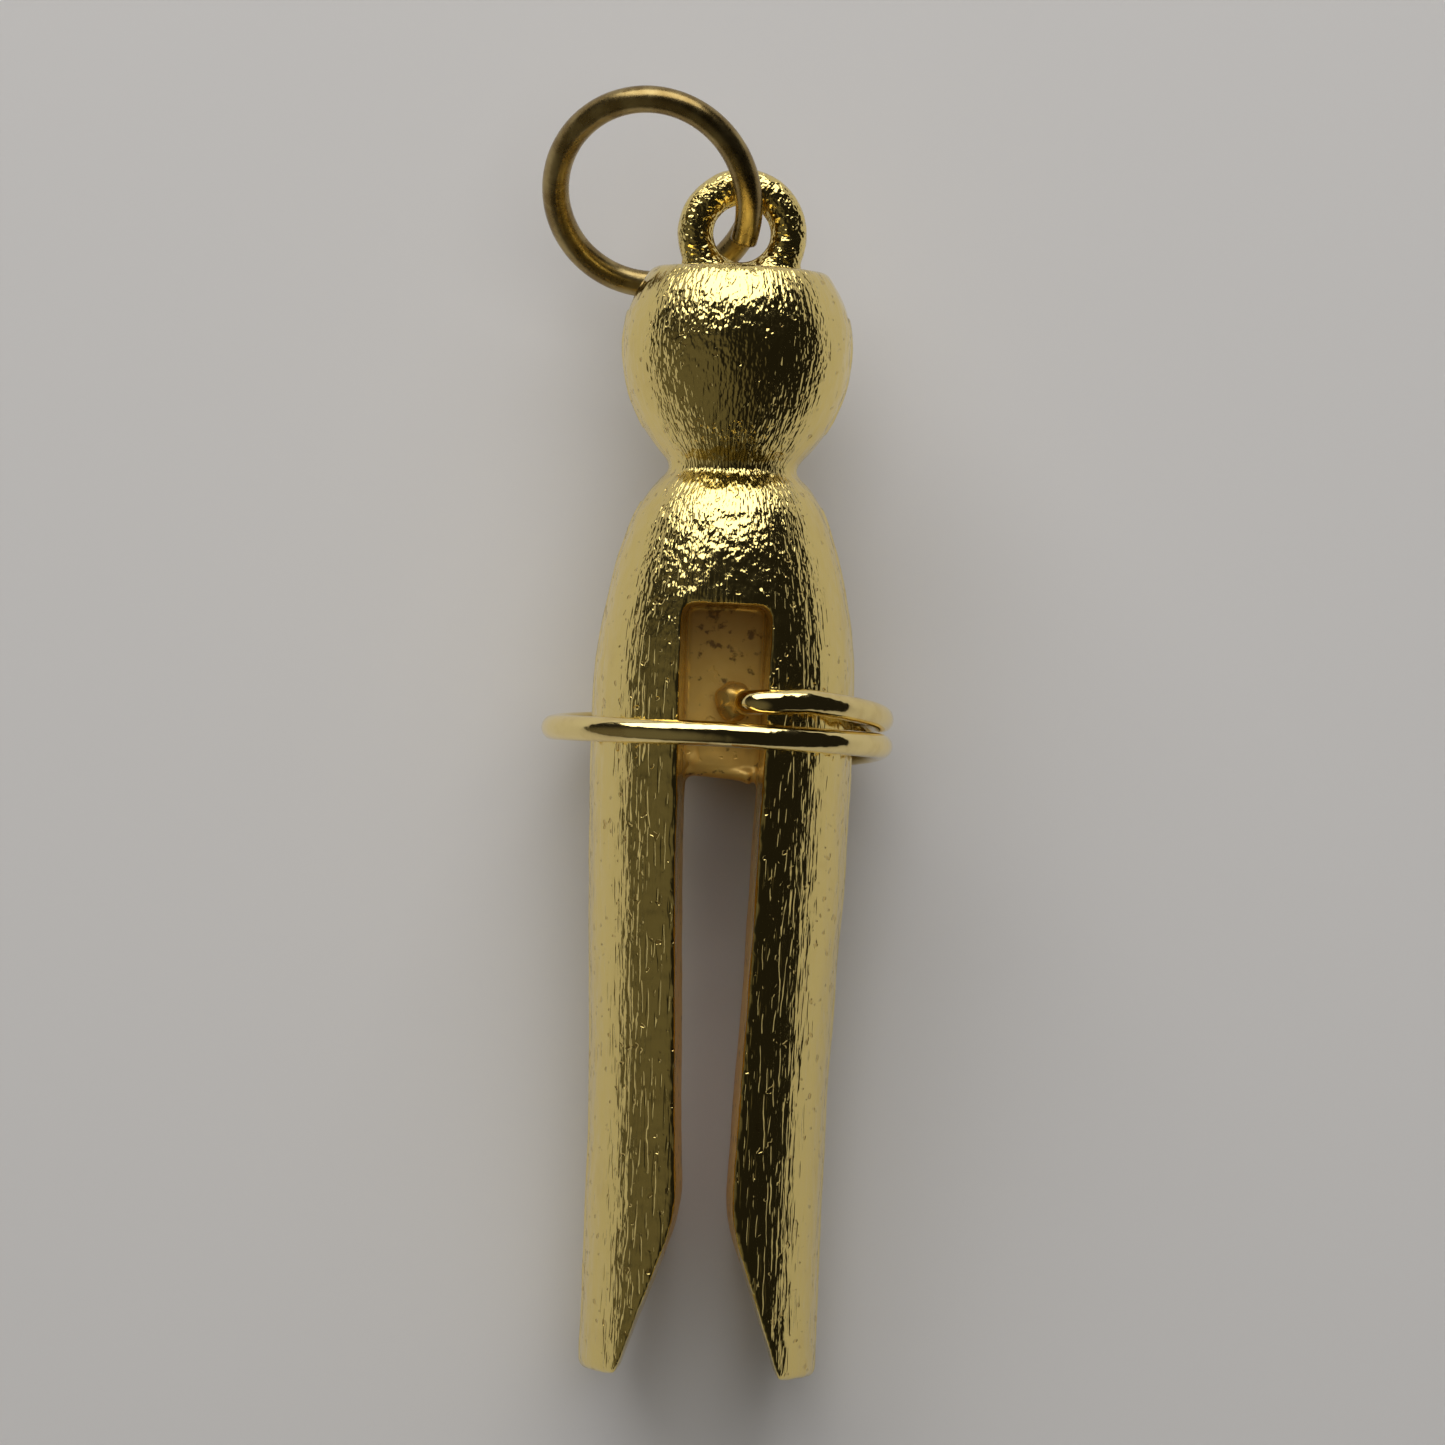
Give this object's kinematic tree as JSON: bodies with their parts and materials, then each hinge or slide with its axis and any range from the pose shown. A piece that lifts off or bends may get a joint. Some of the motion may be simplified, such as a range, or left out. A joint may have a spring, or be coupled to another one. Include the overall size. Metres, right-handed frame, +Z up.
{
  "type": "clothespin charm",
  "caption": "Gold-plated cast charm in the shape of a round clothespin, with wire wound round its waist, a hanging eye and an open jump ring.",
  "frame": {"origin": "centre of the lying charm's box, at the surface it lies on", "axes": "+Y toward the head and its eye, +Z up from the surface toward the charm's front, +X to the right seen from the front with the head up"},
  "size_m": [0.0165, 0.0563, 0.0138],
  "materials": {
    "cast_gold": "brushed plating over an orange-peel casting",
    "gold_wire": "smooth, polished",
    "solder": "rough, half bright",
    "old_brass": "smooth, darkened"
  },
  "bodies": {
    "peg": {"peg_casting": "cast_gold", "waist_wire": "gold_wire", "front_solder": "solder", "back_solder": "solder"},
    "ring": {"jump_ring": "old_brass"}
  },
  "joints": [
    {"name": "ring_swing", "type": "hinge", "parent": "peg", "child": "ring", "pos_m": [0.00073, 0.02227, 0.00768], "axis": [0, -0.089, 0.996], "range_deg": [-105, 0]}
  ]
}
